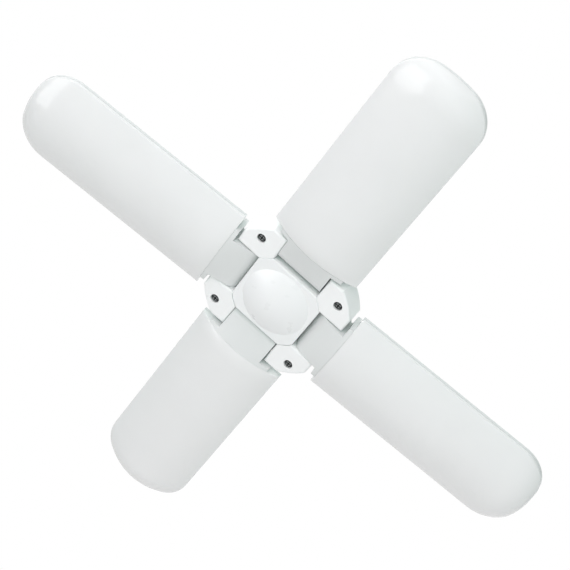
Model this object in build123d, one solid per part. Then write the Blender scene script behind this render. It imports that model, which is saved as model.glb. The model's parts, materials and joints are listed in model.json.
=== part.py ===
from build123d import *
import math
import os

# Four-blade folding LED grow bulb with an E27 cap.
# Millimetres. +Z is up, towards the lampholder. The origin is the end of the cap's centre contact.
# "Depth" is measured upwards from the front face of the hub, which looks straight down.

# Overall
FRONT_Z = -106.0            # height of the hub's front face
BLADE_NAMES = ("1", "2", "3", "4")
BLADE_ANGLES = (0.0, 90.0, 180.0, 270.0)   # direction of each blade about Z
BLADE_TILTS = (-4.4, 3.0, 4.8, -2.5)       # how far each tip hangs below level, in degrees
BLADE_SHIFTS = (0.0, 0.25, 0.0, -0.25)     # play along each hinge, taken up to one side
OVERCUT = 1.0               # how far a cut runs past the face it opens

# Hub
HUB_HALF = 34.2             # half side of the square that bounds the ears
HUB_R = 41.0                # circle that rounds the ears off
NOTCH_HALF = 14.1           # half width of each hinge notch
NOTCH_R = 19.5              # distance from the axis to the notch's inner wall
HUB_DEPTH = 12.4            # ear thickness, front to back
PARTING = 8.0               # depth of the plane where cover and base meet
EAR_EDGE = 1.2              # rounding of the ears' front edges
PLATE_T = 2.4               # thickness of the ears' front plates
BACK_T = 1.8                # thickness of the ears' backs
WALL_T = 2.2                # side walls of the hub
CENTRE_HALF = 20.1          # half side of the square centre diffuser
CENTRE_R = 24.5             # circle that cuts its corners off
CENTRE_T = 2.2
CENTRE_GAP = 0.15           # gap around the centre diffuser in its seat
DOME_R = 18.3               # radius of the dome's foot
DOME_H = 5.4
CENTRE_WALL = 1.5
LEDGE_T = 1.8               # shelf that carries the centre diffuser
LEDGE_OPEN_R = 16.6
SCREW_POS = 25.0            # hub screws sit at plus or minus this in X and Y
SCREW_HEAD_R = 2.25
SCREW_HEAD_T = 1.9
SCREW_SHANK_R = 1.25
SCREW_RECESS_R = 2.45
SCREW_SUNK = 0.5            # how far the heads lie below the face
SCREW_LEN = 9.0
BOSS_R = 3.3
SOCKET_H = 4.0              # height of the ring that enters the driver housing
FLOOR_T = 1.8               # floor between the hub and the driver housing
FLOOR_OPEN_R = 10.6
LEAD_SLOT_HALF = 1.4        # slots for the leads, from each ear to the middle

# Centre board
CENTRE_BOARD_GAP = 0.5      # between the centre diffuser and its board
CENTRE_PLATE_T = 1.5
FOOT_R = 2.0
FOOT_PITCH_R = 13.4
FOOT_ANGLES = (30.0, 150.0, 270.0)

# Hinge
HINGE_R = 28.0              # distance of each hinge axis from the lamp's axis
HINGE_DEPTH = PARTING
BARREL_R = 8.0
BARREL_HALF = 13.65
TRUNNION_R = 2.75
TRUNNION_CLEAR = 0.05
TRUNNION_END = 17.6
WIRE_BORE_R = 1.6
BARREL_BORE_R = 4.8
BARREL_WALL = 2.6
WASHER_T = 0.5
WASHER_PROUD = 0.1          # how far a washer stands out of its seat in the barrel's end
WASHER_R = 5.2
WASHER_SEAT_R = 5.3
BEARING_START = 22.4        # the walls that carry a trunnion, along the blade
BEARING_END = 33.4
BEARING_WALL_END = 18.2     # outer side of those walls

# Blade
BLADE_START = 38.3          # inner end of the blade from the lamp's axis
BLADE_END = 159.8
BLADE_HALF = 26.0
TIP_ARC_R = 72.0            # shallow curve across the tip
TIP_CORNER_R = 19.2
CROWN_DEPTH = -6.0          # top of the cover's curve, in front of the hub's face
EDGE_DEPTH = 2.7            # where the curve meets the side wall
SEAM_DEPTH = 4.6            # joint between cover and shell
COVER_WALL = 1.5
TIP_ROLL = 14.0             # length over which the crown rolls down at the tip
TIP_LEADS = (8.0, 4.0, 1.5)                             # sections ahead of the tip's corners
TIP_TURNS = (0.0, 6.0, 14.0, 24.0, 34.0, 45.0, 56.0, 67.0)   # sections around them, in degrees
TIP_WIDTHS = (0.8, 0.5, 0.22)                           # sections across the end, as shares of its arc
END_ROLL = 8.0              # length over which the crown rolls down at the inner end
END_DROP = 1.5              # and how far
END_SHARES = (1.0, 0.8, 0.6, 0.4, 0.2, 0.0)             # sections there, as shares of that length
END_LEADS = (1.5, 4.0)                                  # sections past it
LIP_DEPTH = 6.1
BACK_DEPTH = 10.2
RIB_DEPTH = 11.2
RIB_HALF = 0.8
RIB_PITCH = 8.0
RIB_REACH = 16              # outermost rib from the blade's centre line
BACK_INSET = 6.0            # how far the back lies inside the rim
SHELL_WALL = 1.6
STEP_INSET = 1.8            # step in the rim that locates the cover
STEP_H = 0.4
BOARD_INSET = 3.2
BOARD_T = 1.2
POCKET_INSET = 9.0
NECK_HALF = 19.5            # half width of the neck beside the ears
NECK_START = 36.0
NECK_TOP = CROWN_DEPTH + END_DROP   # where the neck's front meets the cover, on the blade's centre line
NECK_POCKET = (33.5, 36.3)  # hollow in front of the wiring channel, along the blade
NECK_POCKET_HALF = 10.5
NECK_POCKET_DEPTH = 0.4
NECK_PAD = 16.0             # how far the neck's back runs on under the blade
LED_SIZE = (2.8, 3.5, 0.8)
LED_ROWS = 3
LED_COLUMNS = 8
LED_MARGIN = 16.0           # from the blade's ends to the first and last chips
LED_PITCH_Y = 14.0
CHANNEL_HALF = 3.6
CHANNEL_FLOOR = 0.3         # shell left between the board and the channel
LEAD_DROP = 9.0             # where the lead leaves the board, from the blade's inner end
NECK_COVER_HALF = 8.0
NECK_COVER_START = 37.2
NECK_COVER_END = 52.0
NECK_COVER_SUNK = 0.6
NECK_COVER_GAP = 0.15
SMALL_SCREW_HEAD_R = 1.9
SMALL_SCREW_HEAD_T = 0.7
SMALL_SCREW_R = 0.95
SMALL_SCREW_INSET = 2.6     # from the ends of the neck cover
SMALL_SCREW_Y = 5.6

# Driver housing and cap
HOUSING_R = 23.4
HOUSING_TOP_R = 22.8        # at the shoulder, where the curve to the collar starts
HOUSING_START = 19.0        # depth where it meets the hub base
HOUSING_SHOULDER = 62.0
HOUSING_END = 79.5
COLLAR_R = 15.0
HOUSING_WALL = 1.8
VENT_COUNT = 12
VENT_WIDTH = 2.2
VENT_LENGTH = 13.0
VENT_STARTS = (28.0, 46.0)
SPIGOT_R = 11.2
SPIGOT_BORE_R = 9.4
SPIGOT_TOP = -9.0
SHELL_TOP = -5.0            # upper edge of the screw shell
SHELL_BOTTOM = -26.5
THREAD_CORE_R = 12.2
THREAD_CREST_R = 13.15
THREAD_PITCH = 3.629
THREAD_TURNS = 4
THREAD_RIDGE_R = 1.25
THREAD_START = -6.9         # upper end of the thread
SHELL_BORE_R = 11.35
SKIRT_R = 13.1
SKIRT_H = 3.0
INSULATOR_FOOT = -7.0
INSULATOR_BORE_R = 1.2
CONTACT_R = 4.7
CONTACT_T = 1.6
CONTACT_EDGE = 0.6
STEM_R = 1.0
STEM_END = -5.7

# Driver
BOARD_X = -6.0              # the driver board stands upright at this X
DRIVER_BOARD_T = 1.6
BOARD_HALF = 19.6
BOARD_START = HOUSING_START + SOCKET_H
BOARD_END = 62.0
TONGUE_HALF = 8.0
TONGUE_END = 74.0
RAIL_T = 1.5                # rails that hold the board's long edges
RAIL_GAP = 0.1
RAIL_INNER = 18.4
RAIL_OUTER = 21.0
LEAD_R = 0.65

os.makedirs("parts", exist_ok=True)


def z_at(depth):
    """Height of a plane that lies at the given depth behind the hub's front face."""
    return FRONT_Z + depth


def box(x0, x1, y0, y1, d0, d1):
    """Box from two X values, two Y values and two depths."""
    size = (abs(x1 - x0), abs(y1 - y0), abs(d1 - d0))
    centre = ((x0 + x1) / 2, (y0 + y1) / 2, z_at((d0 + d1) / 2))
    return Pos(*centre) * Box(*size)


def rod(x, y, radius, d0, d1):
    """Upright cylinder between two depths."""
    return Pos(x, y, z_at((d0 + d1) / 2)) * Cylinder(radius, abs(d1 - d0))


def cross_rod(x, depth, radius, y0, y1):
    """Cylinder along Y between two Y values."""
    place = Pos(x, (y0 + y1) / 2, z_at(depth)) * Rot(90, 0, 0)
    return place * Cylinder(radius, abs(y1 - y0))


def slab(sketch, d0, d1):
    """A flat outline raised between two depths."""
    return Pos(0, 0, z_at(min(d0, d1))) * extrude(sketch, abs(d1 - d0))


def turned(outline):
    """Solid of revolution about Z, from an outline of (radius, depth) points and edges."""
    return revolve(Plane.XZ * make_face(outline), Axis.Z)


def wire(points):
    """Round lead through a list of (x, y, depth) points."""
    spots = [Vector(x, y, z_at(depth)) for x, y, depth in points]
    lead = Pos(*spots[0]) * Sphere(LEAD_R)
    for here, there in zip(spots, spots[1:]):
        run = there - here
        lead += Plane(origin=(here + there) * 0.5, z_dir=run) * Cylinder(LEAD_R, run.length)
        lead += Pos(*there) * Sphere(LEAD_R)
    return lead


def front_edges(shape):
    """Edges around the lowest face."""
    return shape.faces().sort_by(Axis.Z)[0].edges()


def one_solid(shape):
    """The single solid of a shape, or the whole shape where it has several."""
    solids = shape.solids()
    return solids[0] if len(solids) == 1 else Compound(children=list(solids))


def write(shape, name):
    export_step(one_solid(shape), f"parts/{name}.step")


def four_ways(shape):
    return [Rot(0, 0, angle) * shape for angle in BLADE_ANGLES]


def corners(distance):
    return [(sx * distance, sy * distance) for sx in (1, -1) for sy in (1, -1)]


# Hub

def hub_outline(inset=0.0):
    """Square with rounded-off corners, less the four hinge notches."""
    outline = Rectangle(2 * (HUB_HALF - inset), 2 * (HUB_HALF - inset)) & Circle(HUB_R - inset)
    length = HUB_R
    for angle in BLADE_ANGLES:
        notch = Pos(NOTCH_R - inset + length / 2, 0) * Rectangle(length, 2 * (NOTCH_HALF + inset))
        outline -= Rot(0, 0, angle) * notch
    return outline


def centre_outline(inset=0.0):
    return Rectangle(2 * (CENTRE_HALF - inset), 2 * (CENTRE_HALF - inset)) & Circle(CENTRE_R - inset)


def bearing_blocks(d0, d1):
    """Walls beside the notches that carry the trunnions, between two depths."""
    blocks = []
    for side in (1, -1):
        y0 = side * NOTCH_HALF
        y1 = side * BEARING_WALL_END
        blocks += four_ways(box(BEARING_START, BEARING_END, y0, y1, d0, d1))
    return blocks


def trunnion_holes():
    reach = BEARING_WALL_END + OVERCUT
    hole_r = TRUNNION_R + TRUNNION_CLEAR
    return four_ways(cross_rod(HINGE_R, HINGE_DEPTH, hole_r, -reach, reach))


def lead_slots(half, d0, d1):
    """Diagonal slots that let the leads pass from each ear to the middle."""
    slot = box(NOTCH_R - 5, NOTCH_R + 9, -half, half, d0, d1)
    return [Rot(0, 0, 45) * shape for shape in four_ways(slot)]


def hub_cover():
    """Front moulding: four ears, side walls and the shelf of the centre diffuser."""
    outer = slab(hub_outline(), 0, PARTING)
    hollow = slab(hub_outline(WALL_T), PLATE_T, PARTING)
    cover = fillet(front_edges(outer), EAR_EDGE) - hollow
    shelf_top = CENTRE_T + 0.1
    cover -= slab(centre_outline(-CENTRE_GAP), 0, shelf_top)
    shelf = slab(centre_outline(0.9), shelf_top, shelf_top + LEDGE_T)
    cover += shelf & slab(hub_outline(0.2), 0, PARTING)
    cover -= rod(0, 0, LEDGE_OPEN_R, 0, PARTING)
    for block in bearing_blocks(PLATE_T - 0.2, PARTING):
        cover += block
    for x, y in corners(SCREW_POS):
        cover += rod(x, y, BOSS_R, PLATE_T - 0.2, PARTING)
        cover -= rod(x, y, SCREW_RECESS_R, 0, SCREW_SUNK + SCREW_HEAD_T)
        cover -= rod(x, y, SCREW_SHANK_R + 0.1, 0, PARTING)
    for cut in trunnion_holes() + lead_slots(LEAD_SLOT_HALF, PARTING - LEAD_SLOT_HALF, PARTING):
        cover -= cut
    return cover


def hub_gusset():
    """Block with a sloping foot that braces one ear against the driver's seat."""
    inner = NOTCH_R - 4
    reach = 33.0
    low = HUB_DEPTH - 1.0
    side = Polyline(
        (inner, z_at(low)), (reach, z_at(low)), (reach, z_at(low + 1.4)),
        (25.0, z_at(low + 6.0)), (inner, z_at(low + 6.0)), close=True)
    return extrude(Plane.XZ * make_face(side), 5.0, both=True)


def hub_base():
    """Rear moulding: ear backs, central tube, gussets, floor and the driver's socket."""
    ear_back = HUB_DEPTH - BACK_T
    base = slab(hub_outline(), PARTING, HUB_DEPTH) - slab(hub_outline(WALL_T), PARTING, ear_back)
    base += rod(0, 0, NOTCH_R, PARTING, HOUSING_START)
    for angle in BLADE_ANGLES:
        base += Rot(0, 0, angle + 45) * hub_gusset()
    base += rod(0, 0, HOUSING_R, HOUSING_START - FLOOR_T, HOUSING_START)
    base += rod(0, 0, HOUSING_R - HOUSING_WALL - 0.1, HOUSING_START, BOARD_START)
    for block in bearing_blocks(PARTING, ear_back + 0.2):
        base += block
    for x, y in corners(SCREW_POS):
        base += rod(x, y, BOSS_R, PARTING, HUB_DEPTH)
        base -= rod(x, y, SCREW_SHANK_R, PARTING, HUB_DEPTH - 0.9)
    bore_r = NOTCH_R - WALL_T
    base -= rod(0, 0, bore_r, PARTING, HOUSING_START - FLOOR_T)
    base -= rod(0, 0, FLOOR_OPEN_R, PARTING, BOARD_START)
    base -= rod(0, 0, bore_r, HOUSING_START, BOARD_START)
    for cut in trunnion_holes() + lead_slots(LEAD_SLOT_HALF, PARTING, ear_back):
        base -= cut
    return base


def hub_screw():
    """Recessed pan-head screw with a cross slot, head at the front."""
    shoulder = SCREW_SUNK + SCREW_HEAD_T
    screw = rod(0, 0, SCREW_HEAD_R, SCREW_SUNK, shoulder)
    screw = fillet(front_edges(screw), 0.7)
    screw += rod(0, 0, SCREW_SHANK_R - 0.05, shoulder, shoulder + SCREW_LEN)
    for turn in (0, 90):
        screw -= Rot(0, 0, turn) * box(-1.5, 1.5, -0.3, 0.3, SCREW_SUNK, SCREW_SUNK + 1.1)
    return screw


def hub_screws():
    return [Pos(x, y, 0) * hub_screw() for x, y in corners(SCREW_POS)]


def centre_diffuser():
    """Square plate with cut corners and a shallow dome, hollow behind."""
    ball_r = (DOME_R ** 2 + DOME_H ** 2) / (2 * DOME_H)
    plate = slab(centre_outline(), 0, CENTRE_T)
    plate = chamfer(front_edges(plate), 0.4)
    ball = Pos(0, 0, z_at(ball_r - DOME_H))
    dome = ball * Sphere(ball_r) & rod(0, 0, DOME_R, -DOME_H - 1, CENTRE_T)
    inner_r = DOME_R - CENTRE_WALL
    inner = ball * Sphere(ball_r - CENTRE_WALL) & rod(0, 0, inner_r, -DOME_H, CENTRE_T)
    return plate + dome - inner


def centre_led_board():
    front = CENTRE_T + CENTRE_BOARD_GAP
    board = rod(0, 0, LEDGE_OPEN_R - 0.4, front, front + BOARD_T)
    return board - rod(0, 0, WIRE_BORE_R, front, front + BOARD_T)


def centre_board_plate():
    """Disc that backs the centre board, with three feet on the hub base's floor."""
    front = CENTRE_T + CENTRE_BOARD_GAP + BOARD_T
    back = front + CENTRE_PLATE_T
    plate = rod(0, 0, LEDGE_OPEN_R - 0.4, front, back)
    for angle in FOOT_ANGLES:
        plate += Rot(0, 0, angle) * rod(FOOT_PITCH_R, 0, FOOT_R, back, HOUSING_START - FLOOR_T)
    return plate - rod(0, 0, 4.5, front, back)


def centre_leds():
    """Chips on the centre board: four around the middle and eight outside them."""
    front = CENTRE_T + CENTRE_BOARD_GAP
    leds = []
    for ring_r, count in ((6.0, 4), (12.0, 8)):
        half_x = LED_SIZE[0] / 2
        half_y = LED_SIZE[1] / 2
        led = box(ring_r - half_x, ring_r + half_x, -half_y, half_y, front - LED_SIZE[2], front)
        leds += [Rot(0, 0, index * 360 / count) * led for index in range(count)]
    return leds


# Blade pieces, built along +X with the blade level

def blade_outline(inset=0.0):
    """Plan of the blade: straight sides, square inner end, softly rounded tip."""
    start = BLADE_START + inset
    end = BLADE_END - inset
    half = BLADE_HALF - inset
    arc_r = TIP_ARC_R - inset
    body = Pos((start + end) / 2, 0) * Rectangle(end - start, 2 * half)
    body &= Pos(end - arc_r, 0) * Circle(arc_r)
    tip = body.vertices().filter_by(lambda v: v.X > (start + end) / 2)
    return fillet(tip, TIP_CORNER_R - inset)


def arc_section(half, crown, edge, bottom):
    """Cross-section with a curved front, in the YZ plane: a wide arc over short side walls."""
    return make_face(
        ThreePointArc((-half, z_at(edge)), (0, z_at(crown)), (half, z_at(edge)))
        + Polyline((half, z_at(edge)), (half, z_at(bottom)), (-half, z_at(bottom)), (-half, z_at(edge)))
    )


def bar(section, x0, x1):
    """A YZ section run along X."""
    return Pos(x0, 0, 0) * extrude(Plane.YZ * section, x1 - x0)


def tip_stations(inset):
    """Distance and half width of the blade's plan at each section around the tip."""
    end = BLADE_END - inset
    half = BLADE_HALF - inset
    corner_r = TIP_CORNER_R - inset
    arc_r = TIP_ARC_R - inset
    corner_y = half - corner_r
    corner_x = end - arc_r + math.sqrt((arc_r - corner_r) ** 2 - corner_y ** 2)
    stations = [(corner_x - lead, half) for lead in TIP_LEADS]
    for turn in TIP_TURNS:
        x = corner_x + corner_r * math.sin(math.radians(turn))
        stations.append((x, corner_y + corner_r * math.cos(math.radians(turn))))
    join_y = arc_r * corner_y / (arc_r - corner_r)
    for share in (1.0,) + TIP_WIDTHS:
        y = join_y * share
        stations.append((end - arc_r + math.sqrt(arc_r ** 2 - y ** 2), y))
    return stations


def end_stations(inset):
    """The same around the cover's inner end."""
    rolled = BLADE_START + inset + END_ROLL
    places = [rolled - END_ROLL * share for share in END_SHARES] + [rolled + lead for lead in END_LEADS]
    return [(x, BLADE_HALF - inset) for x in places]


def cover_top(x, inset):
    """Depth of the cover's crown, which eases down to the neck and rolls down at the tip."""
    crown = CROWN_DEPTH + inset
    edge = EDGE_DEPTH + inset / 2
    end_share = max(BLADE_START + inset + END_ROLL - x, 0) / END_ROLL
    tip_share = max(x - (BLADE_END - inset - TIP_ROLL), 0) / TIP_ROLL
    end_fall = END_DROP * end_share ** 2
    tip_fall = (edge - crown) * (1 - math.sqrt(max(1 - tip_share ** 2, 0)))
    return crown + end_fall + tip_fall


def cover_section(x, half, inset, bottom):
    section = arc_section(half, cover_top(x, inset), EDGE_DEPTH + inset / 2, bottom)
    return Pos(x, 0, 0) * (Plane.YZ * section)


def cover_form(inset=0.0, bottom=SEAM_DEPTH):
    """Outer form of the blade's cover, or the hollow inside it."""
    inner_end = end_stations(inset)
    tip = tip_stations(inset)
    body = bar(arc_section(BLADE_HALF - inset, CROWN_DEPTH + inset, EDGE_DEPTH + inset / 2, bottom),
               inner_end[-1][0], tip[0][0])
    for stations in (inner_end, tip):
        body += loft([cover_section(x, half, inset, bottom) for x, half in stations])
    return body


def blade_cover():
    return cover_form() - cover_form(COVER_WALL, SEAM_DEPTH + OVERCUT)


def neck_root():
    """Distance and depth where the neck's front leaves the barrel, on the tangent to its end."""
    run = BLADE_START - HINGE_R
    rise = HINGE_DEPTH - NECK_TOP
    turn = math.atan2(rise, run) + math.acos(BARREL_R / math.hypot(run, rise))
    return HINGE_R + BARREL_R * math.cos(turn), HINGE_DEPTH - BARREL_R * math.sin(turn)


def neck_section(x, half):
    """Cross-section of the neck, nearly flat at the barrel and curved as the cover at its end."""
    root_x, root_depth = neck_root()
    share = (x - root_x) / (BLADE_START - root_x)
    crown = root_depth + share * (NECK_TOP - root_depth)
    rise = EDGE_DEPTH - NECK_TOP
    radius = (BLADE_HALF ** 2 + rise ** 2) / (2 * rise)
    fall = max(share, 0.05) * (radius - math.sqrt(radius ** 2 - half ** 2))
    return Pos(x, 0, 0) * (Plane.YZ * arc_section(half, crown, crown + fall, RIB_DEPTH))


def neck_form(half, x0, x1):
    """Neck with a sloping, curved front, between two distances from the lamp's axis."""
    return loft([neck_section(x0, half), neck_section(x1, half)])


def small_screw_spots():
    return (NECK_COVER_START + SMALL_SCREW_INSET, NECK_COVER_END - SMALL_SCREW_INSET)


def blade_shell():
    """Rear shell with its neck, hinge barrel and hollow trunnions in one moulding."""
    rim = slab(blade_outline(), SEAM_DEPTH, LIP_DEPTH)
    back_h = BACK_DEPTH - LIP_DEPTH
    slope = math.degrees(math.atan(BACK_INSET / back_h))
    back = Pos(0, 0, z_at(LIP_DEPTH)) * extrude(blade_outline(0.5), back_h, taper=slope)
    shell = rim + back
    for y in range(-RIB_REACH, RIB_REACH + 1, int(RIB_PITCH)):
        rib_end = BLADE_END - 12 - abs(y) * 0.3
        shell += box(BLADE_START, rib_end, y - RIB_HALF, y + RIB_HALF, BACK_DEPTH - 0.5, RIB_DEPTH)
    shell += neck_form(NECK_HALF, NECK_START, BLADE_START)
    pad_half = NECK_HALF - 2
    shell += box(BLADE_START - 0.5, BLADE_START + NECK_PAD, -pad_half, pad_half, BACK_DEPTH - 1, RIB_DEPTH)
    shell += neck_form(BARREL_HALF, neck_root()[0], NECK_START)
    shell += cross_rod(HINGE_R, HINGE_DEPTH, BARREL_R, -BARREL_HALF, BARREL_HALF)
    shell += cross_rod(HINGE_R, HINGE_DEPTH, TRUNNION_R, -TRUNNION_END, TRUNNION_END)
    shell -= slab(blade_outline(STEP_INSET), SEAM_DEPTH, SEAM_DEPTH + STEP_H)
    shell -= slab(blade_outline(BOARD_INSET - 0.2), SEAM_DEPTH, LIP_DEPTH)
    shell -= slab(blade_outline(POCKET_INSET), LIP_DEPTH, BACK_DEPTH - SHELL_WALL)
    bore_half = BARREL_HALF - BARREL_WALL
    bore_end = TRUNNION_END + OVERCUT
    shell -= cross_rod(HINGE_R, HINGE_DEPTH, BARREL_BORE_R, -bore_half, bore_half)
    shell -= cross_rod(HINGE_R, HINGE_DEPTH, WIRE_BORE_R, -bore_end, bore_end)
    for side in (1, -1):
        shell -= washer_ring(side, WASHER_SEAT_R, TRUNNION_R, BARREL_HALF)
    plate_seat = BACK_DEPTH - NECK_COVER_SUNK
    channel_end = NECK_COVER_START + 12
    shell -= box(HINGE_R, channel_end, -CHANNEL_HALF, CHANNEL_HALF, LIP_DEPTH + CHANNEL_FLOOR, plate_seat)
    half = NECK_POCKET_HALF
    shell -= box(*NECK_POCKET, -half, half, NECK_POCKET_DEPTH, LIP_DEPTH + CHANNEL_FLOOR + OVERCUT)
    shell -= rod(BLADE_START + LEAD_DROP, 0, 1.2, SEAM_DEPTH, LIP_DEPTH + OVERCUT)
    shell -= box(NECK_COVER_START, NECK_COVER_END, -NECK_COVER_HALF, NECK_COVER_HALF, plate_seat, RIB_DEPTH)
    for x in small_screw_spots():
        shell -= rod(x, SMALL_SCREW_Y, SMALL_SCREW_R, LIP_DEPTH + 1.2, RIB_DEPTH)
    return shell


def blade_neck_cover():
    """Plate over the wiring channel at the back of the neck."""
    x0 = NECK_COVER_START + NECK_COVER_GAP
    x1 = NECK_COVER_END - NECK_COVER_GAP
    half = NECK_COVER_HALF - NECK_COVER_GAP
    plate = box(x0, x1, -half, half, BACK_DEPTH - NECK_COVER_SUNK, RIB_DEPTH)
    for x in small_screw_spots():
        plate -= rod(x, SMALL_SCREW_Y, SMALL_SCREW_R + 0.1, BACK_DEPTH - OVERCUT, RIB_DEPTH)
    return plate


def blade_screws():
    """Two small slotted screws that hold the neck cover."""
    screws = []
    head_top = RIB_DEPTH + SMALL_SCREW_HEAD_T
    y = SMALL_SCREW_Y
    for x in small_screw_spots():
        shank = rod(x, y, SMALL_SCREW_R - 0.05, LIP_DEPTH + 1.4, RIB_DEPTH)
        head = rod(x, y, SMALL_SCREW_HEAD_R, RIB_DEPTH, head_top)
        slot = box(x - 1.2, x + 1.2, y - 0.25, y + 0.25, head_top - 0.4, head_top)
        screws.append(shank + head - slot)
    return screws


def blade_led_board():
    front = LIP_DEPTH - BOARD_T
    board = slab(blade_outline(BOARD_INSET), front, LIP_DEPTH)
    return board - rod(BLADE_START + LEAD_DROP, 0, 1.8, front, LIP_DEPTH)


def blade_leds():
    """Light-emitting chips in rows on the front of the board."""
    leds = []
    front = LIP_DEPTH - BOARD_T
    half_x = LED_SIZE[0] / 2
    half_y = LED_SIZE[1] / 2
    step = (BLADE_END - BLADE_START - 2 * LED_MARGIN) / (LED_COLUMNS - 1)
    for column in range(LED_COLUMNS):
        for row in range(LED_ROWS):
            x = BLADE_START + LED_MARGIN + column * step
            y = (row - (LED_ROWS - 1) / 2) * LED_PITCH_Y
            leds.append(box(x - half_x, x + half_x, y - half_y, y + half_y, front - LED_SIZE[2], front))
    return leds


def washer_ring(side, outer_r, inner_r, y1):
    """Ring around a trunnion, from the bottom of the washer's seat outwards."""
    y0 = BARREL_HALF + WASHER_PROUD - WASHER_T
    ring = cross_rod(HINGE_R, HINGE_DEPTH, outer_r, side * y0, side * y1)
    return ring - cross_rod(HINGE_R, HINGE_DEPTH, inner_r, side * (y0 - 1), side * (y1 + 1))


def hinge_washers():
    """Friction washers on the trunnions, set into the ends of the barrel."""
    return [washer_ring(side, WASHER_R, TRUNNION_R + 0.03, BARREL_HALF + WASHER_PROUD) for side in (1, -1)]


def blade_lead():
    """Lead from the blade's board through the channel to the end of one trunnion."""
    drop_x = BLADE_START + LEAD_DROP
    return wire([
        (drop_x, 0, LIP_DEPTH - BOARD_T),
        (drop_x, 0, HINGE_DEPTH),
        (HINGE_R, 0, HINGE_DEPTH),
        (HINGE_R, TRUNNION_END - 1.0, HINGE_DEPTH),
    ])


def hub_lead():
    """Lead from the end of a trunnion through the ear to the middle of the hub."""
    bend = 20.3
    middle = 6.8
    return wire([
        (HINGE_R, TRUNNION_END + 1.0, HINGE_DEPTH),
        (HINGE_R, bend, HINGE_DEPTH),
        (bend, bend, HINGE_DEPTH),
        (middle, middle, HINGE_DEPTH),
        (middle, middle, BOARD_START - 1.0),
    ])


def place_blade(shape, index):
    """Tilt a level blade piece about its hinge, shift it along it and turn it to its side of the hub."""
    hinge = Pos(HINGE_R, 0, z_at(HINGE_DEPTH))
    shifted = Pos(0, BLADE_SHIFTS[index], 0) * shape
    tilted = hinge * Rot(0, BLADE_TILTS[index], 0) * hinge.inverse() * shifted
    return Rot(0, 0, BLADE_ANGLES[index]) * tilted


# Driver housing and cap

def cup_form(inset, neck_r):
    """Straight body that curves in to a neck of the given radius."""
    low_r = HOUSING_R - inset
    top_r = HOUSING_TOP_R - inset
    start = z_at(HOUSING_START)
    shoulder = z_at(HOUSING_SHOULDER)
    end = z_at(HOUSING_END)
    return turned(
        Line((0, start), (low_r, start))
        + Line((low_r, start), (top_r, shoulder))
        + Bezier((top_r, shoulder), (top_r - 0.6, shoulder + 9), (neck_r, end - 8), (neck_r, end))
        + Line((neck_r, end), (0, end))
        + Line((0, end), (0, start))
    )


def driver_housing():
    """Slim cup that holds the driver and carries the screw cap."""
    spigot_top = SPIGOT_TOP - FRONT_Z
    cup = cup_form(0, COLLAR_R) + rod(0, 0, SPIGOT_R, HOUSING_END, spigot_top)
    cup -= cup_form(HOUSING_WALL, SPIGOT_BORE_R)
    cup -= rod(0, 0, SPIGOT_BORE_R, HOUSING_END - 1, spigot_top)
    half = VENT_WIDTH / 2
    for index in range(VENT_COUNT):
        turn = Rot(0, 0, (index + 0.5) * 360 / VENT_COUNT)
        for start in VENT_STARTS:
            cup -= turn * box(HOUSING_R - 5, HOUSING_R + 2, -half, half, start, start + VENT_LENGTH)
    board_back = BOARD_X + DRIVER_BOARD_T
    for side in (1, -1):
        for x0, x1 in ((BOARD_X - RAIL_GAP - RAIL_T, BOARD_X - RAIL_GAP),
                       (board_back + RAIL_GAP, board_back + RAIL_GAP + RAIL_T)):
            cup += box(x0, x1, side * RAIL_INNER, side * RAIL_OUTER, BOARD_START + 0.4, BOARD_END - 2)
    return cup


def screw_shell():
    """Rolled metal shell with a round thread and a plain skirt."""
    height = SHELL_TOP - SHELL_BOTTOM
    shell = Pos(0, 0, (SHELL_TOP + SHELL_BOTTOM) / 2) * Cylinder(THREAD_CORE_R, height)
    path = Helix(THREAD_PITCH, THREAD_PITCH * THREAD_TURNS, THREAD_CREST_R - THREAD_RIDGE_R)
    start = Plane(origin=path @ 0, z_dir=path % 0)
    ridge = sweep(start * Circle(THREAD_RIDGE_R), path=path, is_frenet=True)
    shell += Pos(0, 0, THREAD_START - THREAD_PITCH * THREAD_TURNS) * ridge
    shell += Pos(0, 0, SHELL_BOTTOM + SKIRT_H / 2) * Cylinder(SKIRT_R, SKIRT_H)
    shell -= Pos(0, 0, (SHELL_TOP + SHELL_BOTTOM) / 2) * Cylinder(SHELL_BORE_R, 2 * height)
    return shell


def insulator():
    """Dark ring between the shell and the centre contact."""
    foot = INSULATOR_FOOT
    ring = Pos(0, 0, (foot + SHELL_TOP) / 2) * Cylinder(SHELL_BORE_R - 0.05, SHELL_TOP - foot)
    height = -CONTACT_T + 0.5 - SHELL_TOP
    ring += Pos(0, 0, SHELL_TOP + height / 2) * Cone(SHELL_BORE_R - 0.8, CONTACT_R + 1.0, height)
    ring -= Pos(0, 0, -CONTACT_T / 2) * Cylinder(CONTACT_R + 0.05, CONTACT_T)
    return ring - Pos(0, 0, foot) * Cylinder(INSULATOR_BORE_R, -2 * foot)


def centre_contact():
    disc = Pos(0, 0, -CONTACT_T / 2) * Cylinder(CONTACT_R, CONTACT_T)
    disc = fillet(disc.faces().sort_by(Axis.Z)[-1].edges(), CONTACT_EDGE)
    stem_top = -CONTACT_T / 2
    return disc + Pos(0, 0, (stem_top + STEM_END) / 2) * Cylinder(STEM_R, stem_top - STEM_END)


# Driver

def driver_board():
    x1 = BOARD_X + DRIVER_BOARD_T
    board = box(BOARD_X, x1, -BOARD_HALF, BOARD_HALF, BOARD_START, BOARD_END)
    return board + box(BOARD_X, x1, -TONGUE_HALF, TONGUE_HALF, BOARD_END, TONGUE_END)


def on_board(offset, y, depth, size):
    """Block that stands on the driver board's component side."""
    thick, width, tall = size
    x0 = BOARD_X + DRIVER_BOARD_T + offset
    return box(x0, x0 + thick, y - width / 2, y + width / 2, depth - tall / 2, depth + tall / 2)


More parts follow.
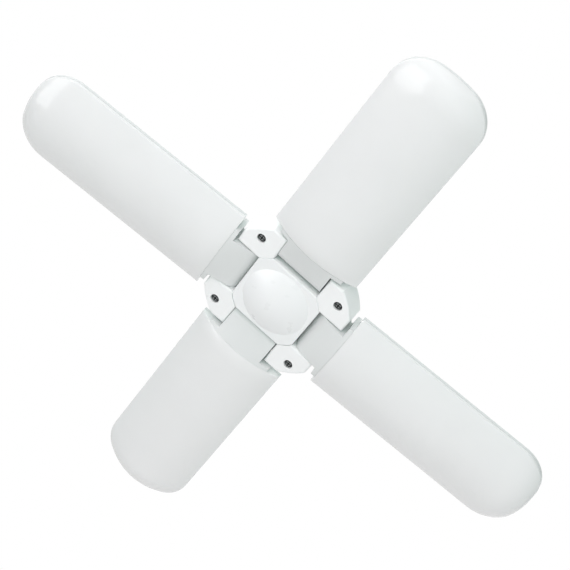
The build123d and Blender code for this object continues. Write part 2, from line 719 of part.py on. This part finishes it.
def bulk_capacitor():
    can_r = 5.0
    can = rod(BOARD_X + DRIVER_BOARD_T + can_r, 9.0, can_r, 44, 60)
    return fillet(can.faces().sort_by(Axis.Z)[-1].edges(), 0.8)


def transformer():
    core = on_board(0, -6.5, 50, (12, 16, 5))
    bobbin = on_board(1.0, -6.5, 50, (10, 13, 14))
    return core + bobbin


def film_capacitor():
    return on_board(0, -7.5, 36, (8, 13, 9))


def bridge_rectifier():
    return on_board(0, 8.0, 35, (2.4, 6.5, 5))


def fuse_resistor():
    body_r = 2.0
    return rod(BOARD_X + DRIVER_BOARD_T + body_r, 0, body_r, 63.5, 72.5)


def driver_controller():
    return on_board(0, 8.0, 28, (1.6, 4.0, 5.0))


def live_lead():
    """From the board up to the centre contact's stem."""
    x = BOARD_X + DRIVER_BOARD_T + LEAD_R
    bend = 84.0
    return wire([(x, -5.0, TONGUE_END - 1), (x, -5.0, bend), (0, 0, bend), (0, 0, STEM_END - LEAD_R - FRONT_Z)])


def neutral_lead():
    """From the board up through the spigot, then out to the inside of the screw shell."""
    x = BOARD_X + DRIVER_BOARD_T + LEAD_R
    y = 5.5
    top = (SPIGOT_TOP + INSULATOR_FOOT) / 2 - FRONT_Z
    reach = (SHELL_BORE_R - LEAD_R) / math.hypot(x, y)
    return wire([(x, y, TONGUE_END - 1), (x, y, top), (x * reach, y * reach, top)])


# Write every piece

write(screw_shell(), "e27_screw_shell")
write(insulator(), "e27_insulator")
write(centre_contact(), "centre_contact")
write(driver_housing(), "driver_housing")
write(driver_board(), "driver_board")
write(bulk_capacitor(), "bulk_capacitor")
write(transformer(), "driver_transformer")
write(film_capacitor(), "film_capacitor")
write(bridge_rectifier(), "bridge_rectifier")
write(fuse_resistor(), "fuse_resistor")
write(driver_controller(), "driver_controller")
write(live_lead(), "live_lead")
write(neutral_lead(), "neutral_lead")
write(hub_base(), "hub_base")
write(hub_cover(), "hub_cover")
write(Compound(children=hub_screws()), "hub_screws")
write(centre_diffuser(), "centre_diffuser")
write(centre_led_board(), "centre_led_board")
write(centre_board_plate(), "centre_board_plate")
write(Compound(children=centre_leds()), "centre_leds")

for index, name in enumerate(BLADE_NAMES):
    write(place_blade(blade_shell(), index), f"blade_shell_{name}")
    write(place_blade(blade_cover(), index), f"blade_cover_{name}")
    write(place_blade(blade_led_board(), index), f"blade_led_board_{name}")
    write(place_blade(Compound(children=blade_leds()), index), f"blade_leds_{name}")
    write(place_blade(blade_neck_cover(), index), f"blade_neck_cover_{name}")
    write(place_blade(Compound(children=blade_screws()), index), f"blade_screws_{name}")
    write(place_blade(Compound(children=hinge_washers()), index), f"hinge_washers_{name}")
    write(place_blade(blade_lead(), index), f"blade_lead_{name}")
    write(Rot(0, 0, BLADE_ANGLES[index]) * hub_lead(), f"hub_lead_{name}")
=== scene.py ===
import json
import math

import bmesh
import bpy
from mathutils import Matrix, Vector


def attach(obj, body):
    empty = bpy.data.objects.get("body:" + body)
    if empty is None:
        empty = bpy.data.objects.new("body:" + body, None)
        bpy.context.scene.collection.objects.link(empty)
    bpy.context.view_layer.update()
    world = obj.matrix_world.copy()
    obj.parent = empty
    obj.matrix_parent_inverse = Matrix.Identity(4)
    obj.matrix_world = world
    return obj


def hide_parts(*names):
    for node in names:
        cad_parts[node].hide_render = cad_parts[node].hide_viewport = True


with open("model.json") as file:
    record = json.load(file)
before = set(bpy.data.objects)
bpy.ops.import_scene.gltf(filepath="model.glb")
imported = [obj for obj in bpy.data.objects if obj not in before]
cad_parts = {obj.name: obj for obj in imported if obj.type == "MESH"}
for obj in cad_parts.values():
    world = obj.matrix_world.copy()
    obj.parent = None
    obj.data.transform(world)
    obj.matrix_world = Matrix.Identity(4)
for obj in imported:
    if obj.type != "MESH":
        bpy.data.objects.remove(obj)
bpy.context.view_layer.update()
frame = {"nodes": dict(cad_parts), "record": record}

MM = 0.001

# The photograph's camera, from a pinhole fitted to the hub's square, its screws and the blades' corners
IMAGE_PX = 570.0
FOCAL_PX = 1687.4
SENSOR_MM = 36.0
CAMERA_AT = Vector((44.9, -546.6, -741.6)) * MM
CAMERA_RIGHT = Vector((0.7440, -0.4839, 0.4608))
CAMERA_UP = Vector((-0.6659, -0.5946, 0.4507))

CLIP_START = 0.01
CLIP_END = 20.0

# The blades, in millimetres as built: distances from the lamp's axis, and depths behind the hub's front
FRONT_Z = -106.0
BLADE_NAMES = ("1", "2", "3", "4")
BLADE_ANGLES = (0.0, 90.0, 180.0, 270.0)
BLADE_TILTS = (-4.4, 3.0, 4.8, -2.5)
BLADE_SHIFTS = (0.0, 0.25, 0.0, -0.25)
HINGE_R = 28.0
HINGE_DEPTH = 8.0
BLADE_START = 38.3
BLADE_END = 159.8
BLADE_HALF = 26.0
TIP_ARC_R = 72.0
TIP_CORNER_R = 19.2
CROWN_DEPTH = -6.0
EDGE_DEPTH = 2.7
SEAM_DEPTH = 4.6
COVER_WALL = 1.5
TIP_ROLL = 14.0
END_ROLL = 8.0
END_DROP = 1.5

# How finely the covers are divided: columns across, rows along each stretch, degrees around the tip's roll
COLUMNS = 48
END_ROWS = 12
STRAIGHT_ROWS = 20
SHOULDER_ROWS = 12
SHOULDER_LENGTH = 8.0
TIP_STEP = 3
FLATTEST_RISE = 1e-4

# Softened edges of the covers, in millimetres and degrees
WELD_REACH = 0.002
EDGE_SOFTNESS = 0.35
EDGE_SEGMENTS = 3
SHARP_FROM = 38.0

# Whites of the four kinds of moulding; the shell's white is the hub's white darkened as painted shade, for
# the necks that lie in the covers' shadow
HUB_WHITE = (0.84, 0.875, 0.865)
SHADED_SHELL_WHITE = (0.672, 0.71, 0.698)
CENTRE_WHITE = (0.815, 0.852, 0.844)
COVER_WHITE = (0.755, 0.785, 0.775)

# Distance of the hub screws from the lamp's middle, how far the painted highlight reaches over their heads,
# and the depth behind the front past which their crosses keep black as painted shade
SCREW_POS = 25.0
GLINT_REACH = 2.8
RECESS_SHADE_DEPTH = 0.7
PAINTED_GLINT_GREY = (0.2, 0.21, 0.21)
SCREW_BLACK = (0.012, 0.013, 0.014)

# Floor, in metres, and how much it shines for rays that show it as background
FLOOR_Z = -1.8
FLOOR_HALF = 6.0
FLOOR_GREY = 0.86
FLOOR_GLOW = 0.36

# Even light on the object
AMBIENT = 0.56
AMBIENT_COLOR = (0.945, 1.0, 0.985, 1.0)
WHITE = (1.0, 1.0, 1.0, 1.0)

# Soft lights: name, direction from the hub, distance in metres, size, watts and colour
HUB_FRONT = Vector((0.0, 0.0, FRONT_Z)) * MM
LIGHTS = (
    ("key", (-0.50, -0.79, -0.34), 1.1, 0.9, 3.9, (1.0, 0.78, 0.90)),
    ("key_high", (-0.15, -0.75, -0.62), 1.1, 0.9, 3.2, (1.0, 0.88, 0.88)),
    ("right_fill", (0.38, 0.58, -0.72), 1.3, 1.0, 4.4, (1.0, 0.74, 0.82)),
    ("camera_fill", (0.05, -0.60, -0.76), 1.2, 0.9, 2.1, (0.62, 1.0, 0.94)),
    ("back_left", (-0.70, -0.50, 0.50), 1.1, 0.9, 4.2, (0.93, 1.0, 0.97)),
    ("back_top", (0.50, 0.50, 0.75), 1.1, 0.9, 8.0, (1.0, 0.98, 0.98)),
)

# The softbox that blade 4's tip mirrors, in metres from that tip: its lower corner, and a place on each side
WINDOW_SEEN_FROM = Vector((-0.015, -0.150, -0.112))
WINDOW_CORNER = Vector((-0.40, 0.42, -0.90))
WINDOW_LEFT = Vector((-0.95, 0.60, -0.57))
WINDOW_TOP = Vector((-0.72, -0.34, -0.92))
WINDOW_SIZE = (0.9, 1.1)
WINDOW_WATTS = 12.0

nodes = frame["nodes"]
scene = bpy.context.scene


# Materials

def new_material(name, color, roughness):
    """A principled material with its node tree, its shader and its surface position in millimetres."""
    material = bpy.data.materials.new(name)
    material.use_nodes = True
    tree = material.node_tree
    shader = tree.nodes["Principled BSDF"]
    shader.inputs["Base Color"].default_value = (*color, 1.0)
    shader.inputs["Roughness"].default_value = roughness
    coordinates = tree.nodes.new("ShaderNodeTexCoord")
    mapping = tree.nodes.new("ShaderNodeMapping")
    mapping.inputs["Scale"].default_value = (1000.0, 1000.0, 1000.0)
    tree.links.new(coordinates.outputs["Object"], mapping.inputs["Vector"])
    return material, tree, shader, mapping.outputs["Vector"]


def noise(tree, where, per_mm, detail=3.0, roughness=0.5):
    """Cloudy value over the surface."""
    node = tree.nodes.new("ShaderNodeTexNoise")
    node.inputs["Scale"].default_value = per_mm
    node.inputs["Detail"].default_value = detail
    node.inputs["Roughness"].default_value = roughness
    tree.links.new(where, node.inputs["Vector"])
    return node.outputs["Fac"]


def ramp(tree, value, low, high, low_at=0.3, high_at=0.7):
    """Colours or greys spread over a range of a value."""
    node = tree.nodes.new("ShaderNodeValToRGB")
    node.color_ramp.elements[0].position = low_at
    node.color_ramp.elements[1].position = high_at
    node.color_ramp.elements[0].color = (*low, 1.0)
    node.color_ramp.elements[1].color = (*high, 1.0)
    tree.links.new(value, node.inputs["Fac"])
    return node.outputs["Color"]


def grey(value):
    """A neutral colour of one value."""
    return (value, value, value)


def bump(tree, shader, height, distance_mm, strength, under=None):
    """Relief from a height value, over an earlier relief if there is one."""
    node = tree.nodes.new("ShaderNodeBump")
    node.inputs["Distance"].default_value = distance_mm * MM
    node.inputs["Strength"].default_value = strength
    tree.links.new(height, node.inputs["Height"])
    if under is not None:
        tree.links.new(under, node.inputs["Normal"])
    tree.links.new(node.outputs["Normal"], shader.inputs["Normal"])
    return node.outputs["Normal"]


def shade(color, factor):
    """A lighter or darker version of a colour."""
    return tuple(min(1.0, channel * factor) for channel in color)


def moulded_plastic(name, color, roughness, texture_mm=0.25, depth_mm=0.012, mottle=0.02, translucency=0.0):
    """Injection-moulded plastic: fine spark texture, faint flow mottling, slightly uneven gloss."""
    material, tree, shader, where = new_material(name, color, roughness)
    cloud = noise(tree, where, 0.035, 4.0)
    colour = ramp(tree, cloud, shade(color, 1 - mottle), shade(color, 1 + mottle))
    tree.links.new(colour, shader.inputs["Base Color"])
    gloss = noise(tree, where, 0.12, 5.0)
    gloss_spread = ramp(tree, gloss, grey(roughness * 0.88), grey(roughness * 1.12))
    tree.links.new(gloss_spread, shader.inputs["Roughness"])
    sink_marks = noise(tree, where, 0.05, 2.0)
    sunk = bump(tree, shader, sink_marks, 0.10, 0.25)
    spark_texture = noise(tree, where, 1.0 / texture_mm)
    bump(tree, shader, spark_texture, depth_mm, 0.8, sunk)
    shader.inputs["Specular IOR Level"].default_value = 0.28
    if translucency > 0:
        shader.inputs["Subsurface Weight"].default_value = translucency
        shader.inputs["Subsurface Radius"].default_value = (1.0, 1.0, 0.9)
        shader.inputs["Subsurface Scale"].default_value = 2.0 * MM
    return material


def plated_metal(name, color, roughness):
    """Rolled, plated metal with fine drawing lines around the axis and faint stains."""
    material, tree, shader, where = new_material(name, color, roughness)
    shader.inputs["Metallic"].default_value = 1.0
    lines = tree.nodes.new("ShaderNodeMapping")
    lines.inputs["Scale"].default_value = (0.05, 0.05, 9.0)
    tree.links.new(where, lines.inputs["Vector"])
    drawn = noise(tree, lines.outputs["Vector"], 1.0, 4.0)
    gloss_spread = ramp(tree, drawn, grey(roughness * 0.7), grey(roughness * 1.4))
    tree.links.new(gloss_spread, shader.inputs["Roughness"])
    stain = noise(tree, where, 0.3, 4.0)
    stained = ramp(tree, stain, shade(color, 0.88), shade(color, 1.04))
    tree.links.new(stained, shader.inputs["Base Color"])
    bump(tree, shader, drawn, 0.01, 0.6)
    return material


def math_node(tree, operation, first, second=0.0):
    """One arithmetic node, whose operands are sockets or numbers."""
    node = tree.nodes.new("ShaderNodeMath")
    node.operation = operation
    for operand, socket in ((first, node.inputs[0]), (second, node.inputs[1])):
        if isinstance(operand, float):
            socket.default_value = operand
        else:
            tree.links.new(operand, socket)
    return node.outputs["Value"]


def blackened_steel(name):
    """Black zinc on the screws; over each hub screw's head a painted highlight of lighter grey around the
    cross, while the sunk cross keeps black as painted shade.
    """
    material, tree, shader, where = new_material(name, SCREW_BLACK, 0.3)
    shader.inputs["Metallic"].default_value = 0.8
    split = tree.nodes.new("ShaderNodeSeparateXYZ")
    tree.links.new(where, split.inputs["Vector"])
    squares = []
    for axis in ("X", "Y"):
        side = math_node(tree, "ABSOLUTE", split.outputs[axis])
        offset = math_node(tree, "SUBTRACT", side, SCREW_POS)
        squares.append(math_node(tree, "MULTIPLY", offset, offset))
    from_axis = math_node(tree, "SQRT", math_node(tree, "ADD", *squares))
    ragging_noise = noise(tree, where, 1.1, 4.0, 0.6)
    # Deeper than this into a screw's cross the head stays black: painted shade in the recess.
    sunk = math_node(tree, "GREATER_THAN", split.outputs["Z"], FRONT_Z + RECESS_SHADE_DEPTH)
    recess_shade = math_node(tree, "MULTIPLY", sunk, GLINT_REACH)
    ragged = math_node(tree, "ADD", math_node(tree, "ADD", from_axis, ragging_noise), recess_shade)
    share = math_node(tree, "DIVIDE", ragged, GLINT_REACH)
    # Lighter grey near each screw's axis is a painted highlight; the black beyond it is the zinc's own
    # colour.
    glint_and_shade = ramp(tree, share, PAINTED_GLINT_GREY, SCREW_BLACK, 0.62, 0.8)
    tree.links.new(glint_and_shade, shader.inputs["Base Color"])
    gloss_spread = ramp(tree, ragging_noise, grey(0.24), grey(0.42))
    tree.links.new(gloss_spread, shader.inputs["Roughness"])
    bump(tree, shader, ragging_noise, 0.02, 0.5)
    return material


def solder_mask(name, color):
    """Circuit board lacquer with a faint glass weave below it."""
    material, tree, shader, where = new_material(name, color, 0.35)
    weave = tree.nodes.new("ShaderNodeTexWave")
    weave.inputs["Scale"].default_value = 0.9
    weave.inputs["Distortion"].default_value = 0.6
    tree.links.new(where, weave.inputs["Vector"])
    woven = ramp(tree, weave.outputs["Fac"], shade(color, 0.9), shade(color, 1.08))
    tree.links.new(woven, shader.inputs["Base Color"])
    bump(tree, shader, weave.outputs["Fac"], 0.02, 0.4)
    return material


materials = {
    "white_plastic": moulded_plastic("white_plastic", HUB_WHITE, 0.36),
    "diffuser_white": moulded_plastic("diffuser_white", CENTRE_WHITE, 0.30, 0.35, 0.008, 0.012, 0.12),
    "cap_metal": plated_metal("cap_metal", (0.62, 0.60, 0.56), 0.28),
    "contact_metal": plated_metal("contact_metal", (0.60, 0.55, 0.42), 0.32),
    "dark_insulator": moulded_plastic("dark_insulator", (0.018, 0.018, 0.02), 0.16, 0.6, 0.02),
    "dark_screws": blackened_steel("dark_screws"),
    "washer_steel": plated_metal("washer_steel", (0.50, 0.50, 0.51), 0.34),
    "led_board_white": solder_mask("led_board_white", (0.80, 0.80, 0.77)),
    "led_phosphor": moulded_plastic("led_phosphor", (0.85, 0.70, 0.22), 0.45, 0.2, 0.03, 0.06),
    "circuit_board": solder_mask("circuit_board", (0.03, 0.14, 0.05)),
    "capacitor_sleeve": moulded_plastic("capacitor_sleeve", (0.012, 0.014, 0.03), 0.3, 0.5, 0.01),
    "transformer_tape": moulded_plastic("transformer_tape", (0.62, 0.42, 0.05), 0.4, 0.6, 0.03, 0.06),
    "film_case": moulded_plastic("film_case", (0.28, 0.03, 0.02), 0.3, 0.5, 0.01),
    "black_resin": moulded_plastic("black_resin", (0.02, 0.02, 0.02), 0.5, 0.2, 0.02),
    "resistor_coat": moulded_plastic("resistor_coat", (0.12, 0.17, 0.14), 0.4, 0.4, 0.02),
    "lead_insulation": moulded_plastic("lead_insulation", (0.75, 0.75, 0.72), 0.4, 0.5, 0.01),
}

cover_plastic = moulded_plastic("cover_plastic", COVER_WHITE, 0.13, 0.35, 0.008, 0.012, 0.12)
# The blade shells and neck covers get a darker copy of the white plastic: painted shade.
shaded_shell_plastic = moulded_plastic("shaded_shell_plastic", SHADED_SHELL_WHITE, 0.38)

for entry in frame["record"]["subparts"]:
    mesh = nodes[entry["node"]].data
    finish = materials[entry["material_slot"]]
    if entry["node"].startswith(("blade_shell", "blade_neck_cover")):
        finish = shaded_shell_plastic
    mesh.materials.clear()
    mesh.materials.append(finish)


# Blade covers: thin domed shells with rolled ends

def half_width(x, inset):
    """Half width of the blade's plan at a distance from the lamp's axis."""
    end = BLADE_END - inset
    corner_r = TIP_CORNER_R - inset
    arc_r = TIP_ARC_R - inset
    corner_y = BLADE_HALF - TIP_CORNER_R
    corner_x = end - arc_r + math.sqrt((arc_r - corner_r) ** 2 - corner_y ** 2)
    join_x = end - arc_r + (corner_x - end + arc_r) * arc_r / (arc_r - corner_r)
    if x <= corner_x:
        return BLADE_HALF - inset
    if x <= join_x:
        return corner_y + math.sqrt(corner_r ** 2 - (x - corner_x) ** 2)
    return math.sqrt(max(arc_r ** 2 - (x - end + arc_r) ** 2, 0.0))


def crown_depth(x, inset):
    """Depth of the cover's crown, which eases down to the neck and rolls down at the tip."""
    crown = CROWN_DEPTH + inset
    edge = EDGE_DEPTH + inset / 2
    end_share = max(BLADE_START + inset + END_ROLL - x, 0.0) / END_ROLL
    tip_share = max(x - (BLADE_END - inset - TIP_ROLL), 0.0) / TIP_ROLL
    end_fall = END_DROP * end_share ** 2
    tip_fall = (edge - crown) * (1 - math.sqrt(max(1 - tip_share ** 2, 0.0)))
    return crown + end_fall + tip_fall


def cover_stations(inset):
    """Places along the cover, close together where it rolls over and around the tip's corners."""
    start = BLADE_START + inset
    roll_from = BLADE_END - inset - TIP_ROLL
    eased_end = [start + END_ROLL * step / END_ROWS for step in range(END_ROWS)]
    straight_from = start + END_ROLL
    straight_to = roll_from - SHOULDER_LENGTH
    straight_step = (straight_to - straight_from) / STRAIGHT_ROWS
    straight = [straight_from + straight_step * step for step in range(STRAIGHT_ROWS)]
    shoulder_step = SHOULDER_LENGTH / SHOULDER_ROWS
    shoulder = [straight_to + shoulder_step * step for step in range(SHOULDER_ROWS)]
    rolled_tip = [roll_from + TIP_ROLL * math.sin(math.radians(turn)) for turn in range(0, 90, TIP_STEP)]
    return eased_end + straight + shoulder + rolled_tip


def cover_skin(inset):
    """Rows of (x, y, depth) points over the cover, from the inner end to the tip."""
    rows = []
    edge = EDGE_DEPTH + inset / 2
    for x in cover_stations(inset):
        half = half_width(x, inset)
        rise = max(edge - crown_depth(x, inset), FLATTEST_RISE)
        radius = (half ** 2 + rise ** 2) / (2 * rise)
        row = []
        for column in range(COLUMNS + 1):
            y = half * (2 * column / COLUMNS - 1)
            sag = radius - math.sqrt(max(radius ** 2 - y ** 2, 0.0))
            row.append((x, y, edge - rise + sag))
        rows.append(row)
    return rows


def skin_border(rows):
    """Grid places around a skin's border, in order."""
    last_row = len(rows) - 1
    last_column = len(rows[0]) - 1
    around = [(0, column) for column in range(last_column + 1)]
    around += [(row, last_column) for row in range(1, last_row + 1)]
    around += [(last_row, column) for column in range(last_column - 1, -1, -1)]
    around += [(row, 0) for row in range(last_row - 1, 0, -1)]
    return around


def blade_to_lamp(index):
    """Turns points of a level blade, in x, y and depth, into the lamp's frame in metres."""
    hinge = Matrix.Translation((HINGE_R, 0.0, HINGE_DEPTH))
    tilt = Matrix.Rotation(math.radians(BLADE_TILTS[index]), 4, "Y")
    shift = Matrix.Translation((0.0, BLADE_SHIFTS[index], 0.0))
    turn = Matrix.Rotation(math.radians(BLADE_ANGLES[index]), 4, "Z")
    drop = Matrix.Translation((0.0, 0.0, FRONT_Z))
    return Matrix.Scale(MM, 4) @ drop @ turn @ hinge @ tilt @ hinge.inverted() @ shift


def cover_mesh(name):
    """Closed shell: outer skin, inner skin, side walls and the rim that joins them."""
    mesh = bmesh.new()
    loops = []
    for inset, outward in ((0.0, True), (COVER_WALL, False)):
        rows = cover_skin(inset)
        grid = [[mesh.verts.new(point) for point in row] for row in rows]
        for upper, lower in zip(grid, grid[1:]):
            for column in range(COLUMNS):
                quad = [upper[column], upper[column + 1], lower[column + 1], lower[column]]
                mesh.faces.new(quad if outward else quad[::-1])
        around = skin_border(rows)
        top = [grid[row][column] for row, column in around]
        foot = [mesh.verts.new((vert.co.x, vert.co.y, SEAM_DEPTH)) for vert in top]
        for k in range(len(top)):
            quad = [top[k - 1], foot[k - 1], foot[k], top[k]]
            mesh.faces.new(quad if outward else quad[::-1])
        loops.append(foot)
    outer, inner = loops
    for k in range(len(outer)):
        mesh.faces.new([outer[k - 1], inner[k - 1], inner[k], outer[k]])
    bmesh.ops.recalc_face_normals(mesh, faces=mesh.faces)
    data = bpy.data.meshes.new(name)
    mesh.to_mesh(data)
    mesh.free()
    data.shade_smooth()
    return data


def soften(piece):
    """Rounds a piece's sharp edges by a small bevel, as moulding and handling leave them."""
    weld = piece.modifiers.new("weld", "WELD")
    weld.merge_threshold = WELD_REACH * MM
    bevel = piece.modifiers.new("soft_edges", "BEVEL")
    bevel.width = EDGE_SOFTNESS * MM
    bevel.segments = EDGE_SEGMENTS
    bevel.limit_method = "ANGLE"
    bevel.angle_limit = math.radians(SHARP_FROM)
    bevel.harden_normals = True
    bevel.use_clamp_overlap = True


def add_blade_cover(index):
    """A blade's cover, in place of its CAD solid."""
    name = BLADE_NAMES[index]
    data = cover_mesh(f"cover_skin_{name}")
    data.transform(blade_to_lamp(index))
    data.materials.append(cover_plastic)
    cover = bpy.data.objects.new(f"cover_skin_{name}", data)
    scene.collection.objects.link(cover)
    soften(cover)
    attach(cover, f"blade_{name}")
    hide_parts(f"blade_cover_{name}")


for index in range(len(BLADE_NAMES)):
    add_blade_cover(index)


# Camera

def place_camera():
    """The camera at the photograph's angle and distance."""
    data = bpy.data.cameras.new("camera")
    data.sensor_width = SENSOR_MM
    data.lens = FOCAL_PX / IMAGE_PX * SENSOR_MM
    data.clip_start = CLIP_START
    data.clip_end = CLIP_END
    camera = bpy.data.objects.new("camera", data)
    scene.collection.objects.link(camera)
    right = CAMERA_RIGHT.normalized()
    up = (CAMERA_UP - right * CAMERA_UP.dot(right)).normalized()
    back = right.cross(up)
    turn = Matrix((right, up, back)).transposed()
    camera.matrix_world = Matrix.Translation(CAMERA_AT) @ turn.to_4x4()
    scene.camera = camera


# Light and floor

def area_light(name, direction, distance, size, watts, color):
    """Round soft light that faces the hub from a direction."""
    data = bpy.data.lights.new(name, "AREA")
    data.shape = "DISK"
    data.size = size
    data.energy = watts
    data.color = color
    light = bpy.data.objects.new(name, data)
    scene.collection.objects.link(light)
    light.visible_glossy = False
    away = Vector(direction).normalized()
    light.location = HUB_FRONT + away * distance
    light.rotation_mode = "QUATERNION"
    light.rotation_quaternion = away.to_track_quat("Z", "Y")


def window_card():
    """Rectangular softbox that shows only as a reflection, on the blades' glossy tips."""
    right = (WINDOW_CORNER - WINDOW_LEFT).normalized()
    facing = (WINDOW_CORNER - WINDOW_TOP).cross(right).normalized()
    up = facing.cross(right)
    centre = WINDOW_CORNER - right * WINDOW_SIZE[0] / 2 + up * WINDOW_SIZE[1] / 2
    data = bpy.data.lights.new("window", "AREA")
    data.shape = "RECTANGLE"
    data.size, data.size_y = WINDOW_SIZE
    data.energy = WINDOW_WATTS
    light = bpy.data.objects.new("window", data)
    scene.collection.objects.link(light)
    turn = Matrix((right, up, right.cross(up))).transposed()
    light.matrix_world = Matrix.Translation(WINDOW_SEEN_FROM + centre) @ turn.to_4x4()
    light.visible_diffuse = False
    light.visible_camera = False


def background_ray(tree):
    """One for rays that show the background: straight, mirrored or through something clear."""
    path = tree.nodes.new("ShaderNodeLightPath")
    shown = math_node(tree, "MAXIMUM", path.outputs["Is Camera Ray"], path.outputs["Is Glossy Ray"])
    return math_node(tree, "MAXIMUM", shown, path.outputs["Is Transmission Ray"])


def white_world():
    """White behind the object, with a weaker even light on it."""
    world = bpy.data.worlds.new("studio")
    scene.world = world
    world.use_nodes = True
    tree = world.node_tree
    tree.nodes.clear()
    out = tree.nodes.new("ShaderNodeOutputWorld")
    mix = tree.nodes.new("ShaderNodeMixShader")
    seen = tree.nodes.new("ShaderNodeBackground")
    seen.inputs["Color"].default_value = WHITE
    seen.inputs["Strength"].default_value = 1.0
    lit = tree.nodes.new("ShaderNodeBackground")
    lit.inputs["Color"].default_value = AMBIENT_COLOR
    lit.inputs["Strength"].default_value = AMBIENT
    tree.links.new(background_ray(tree), mix.inputs["Fac"])
    tree.links.new(lit.outputs["Background"], mix.inputs[1])
    tree.links.new(seen.outputs["Background"], mix.inputs[2])
    tree.links.new(mix.outputs["Shader"], out.inputs["Surface"])


def studio_floor():
    """A plain pale floor well below the lamp."""
    mesh = bpy.data.meshes.new("studio_floor")
    corners = ((-1, -1), (1, -1), (1, 1), (-1, 1))
    points = [(x * FLOOR_HALF, y * FLOOR_HALF, FLOOR_Z) for x, y in corners]
    mesh.from_pydata(points, [], [(0, 1, 2, 3)])
    floor = bpy.data.objects.new("studio_floor", mesh)
    scene.collection.objects.link(floor)
    material, tree, shader, where = new_material("pale_floor", grey(FLOOR_GREY), 0.7)
    mottled = ramp(tree, noise(tree, where, 0.004), grey(FLOOR_GREY - 0.02), grey(FLOOR_GREY + 0.02))
    tree.links.new(mottled, shader.inputs["Base Color"])
    shader.inputs["Emission Color"].default_value = WHITE
    glow = math_node(tree, "MULTIPLY", background_ray(tree), FLOOR_GLOW)
    tree.links.new(glow, shader.inputs["Emission Strength"])
    mesh.materials.append(material)


place_camera()
white_world()
for light in LIGHTS:
    area_light(*light)
window_card()
studio_floor()
scene.view_settings.view_transform = "Standard"

bpy.context.view_layer.update()
